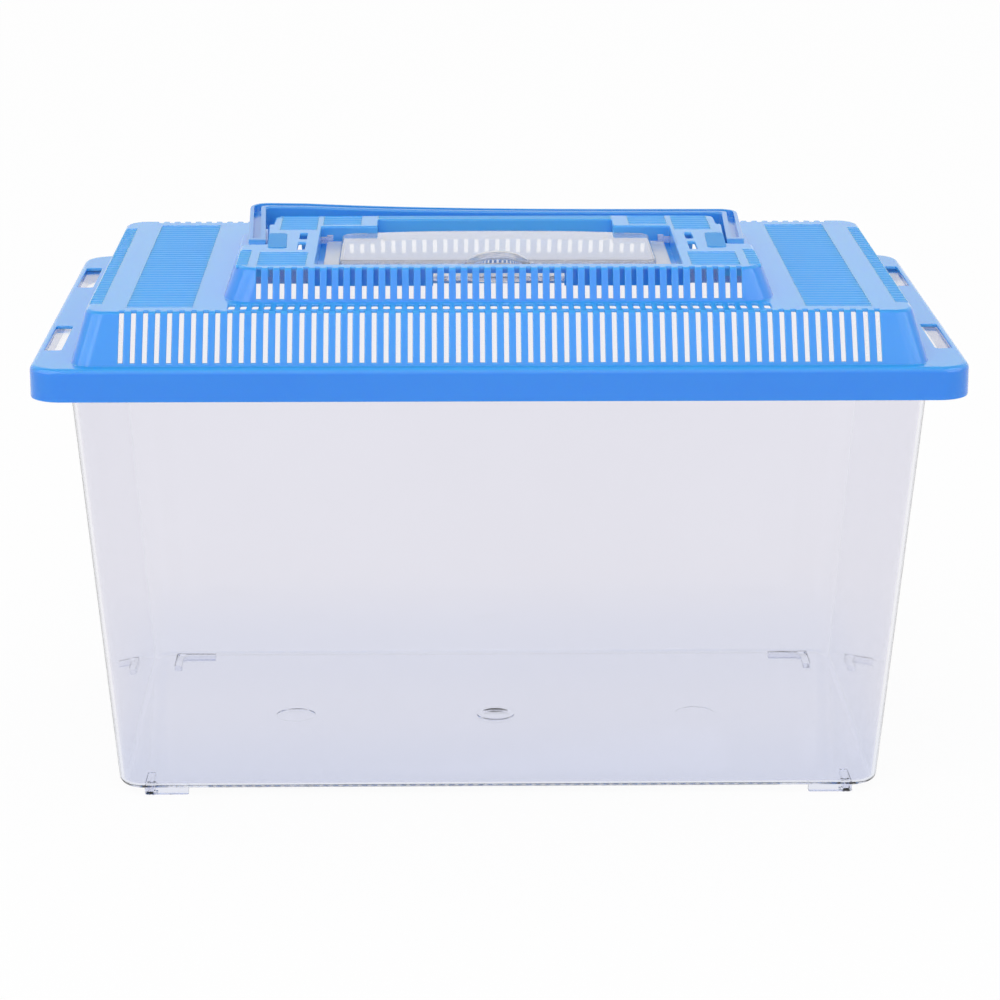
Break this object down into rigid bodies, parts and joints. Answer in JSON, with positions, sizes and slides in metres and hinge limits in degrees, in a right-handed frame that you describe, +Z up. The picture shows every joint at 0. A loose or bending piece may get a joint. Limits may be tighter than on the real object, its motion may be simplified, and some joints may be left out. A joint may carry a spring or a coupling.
{
  "type": "plastic aquarium",
  "caption": "Clear drafted tub under a slotted lid with a raised platform, a folding carry handle and a hinged clear hatch.",
  "frame": {"origin": "on the floor under the centre of the tank, at the level of the feet", "axes": "+X along the length, +Y away from the front, where the platform's slots are, towards the folded handle, +Z up"},
  "size_m": [0.368, 0.23, 0.2196],
  "materials": {
    "tank": "clear, glossy",
    "lid": "glossy, with fine ribbed fields",
    "door": "clear, glossy",
    "handle": "glossy"
  },
  "bodies": {
    "tank": {"tank": "tank"},
    "lid": {"lid": "lid"},
    "door": {"door": "door"},
    "handle": {"handle": "handle"}
  },
  "joints": [
    {"name": "lid_lift", "type": "slide", "parent": "tank", "child": "lid", "axis": [0, 0, 1], "range_m": [0, 0.06]},
    {"name": "handle_pivot", "type": "hinge", "parent": "lid", "child": "handle", "pos_m": [0, -0.01, 0.21175], "axis": [1, 0, 0], "range_deg": [0, 130]},
    {"name": "door_hinge", "type": "hinge", "parent": "lid", "child": "door", "pos_m": [0, 0.0135, 0.2116], "axis": [-1, 0, 0], "range_deg": [0, 100]}
  ]
}
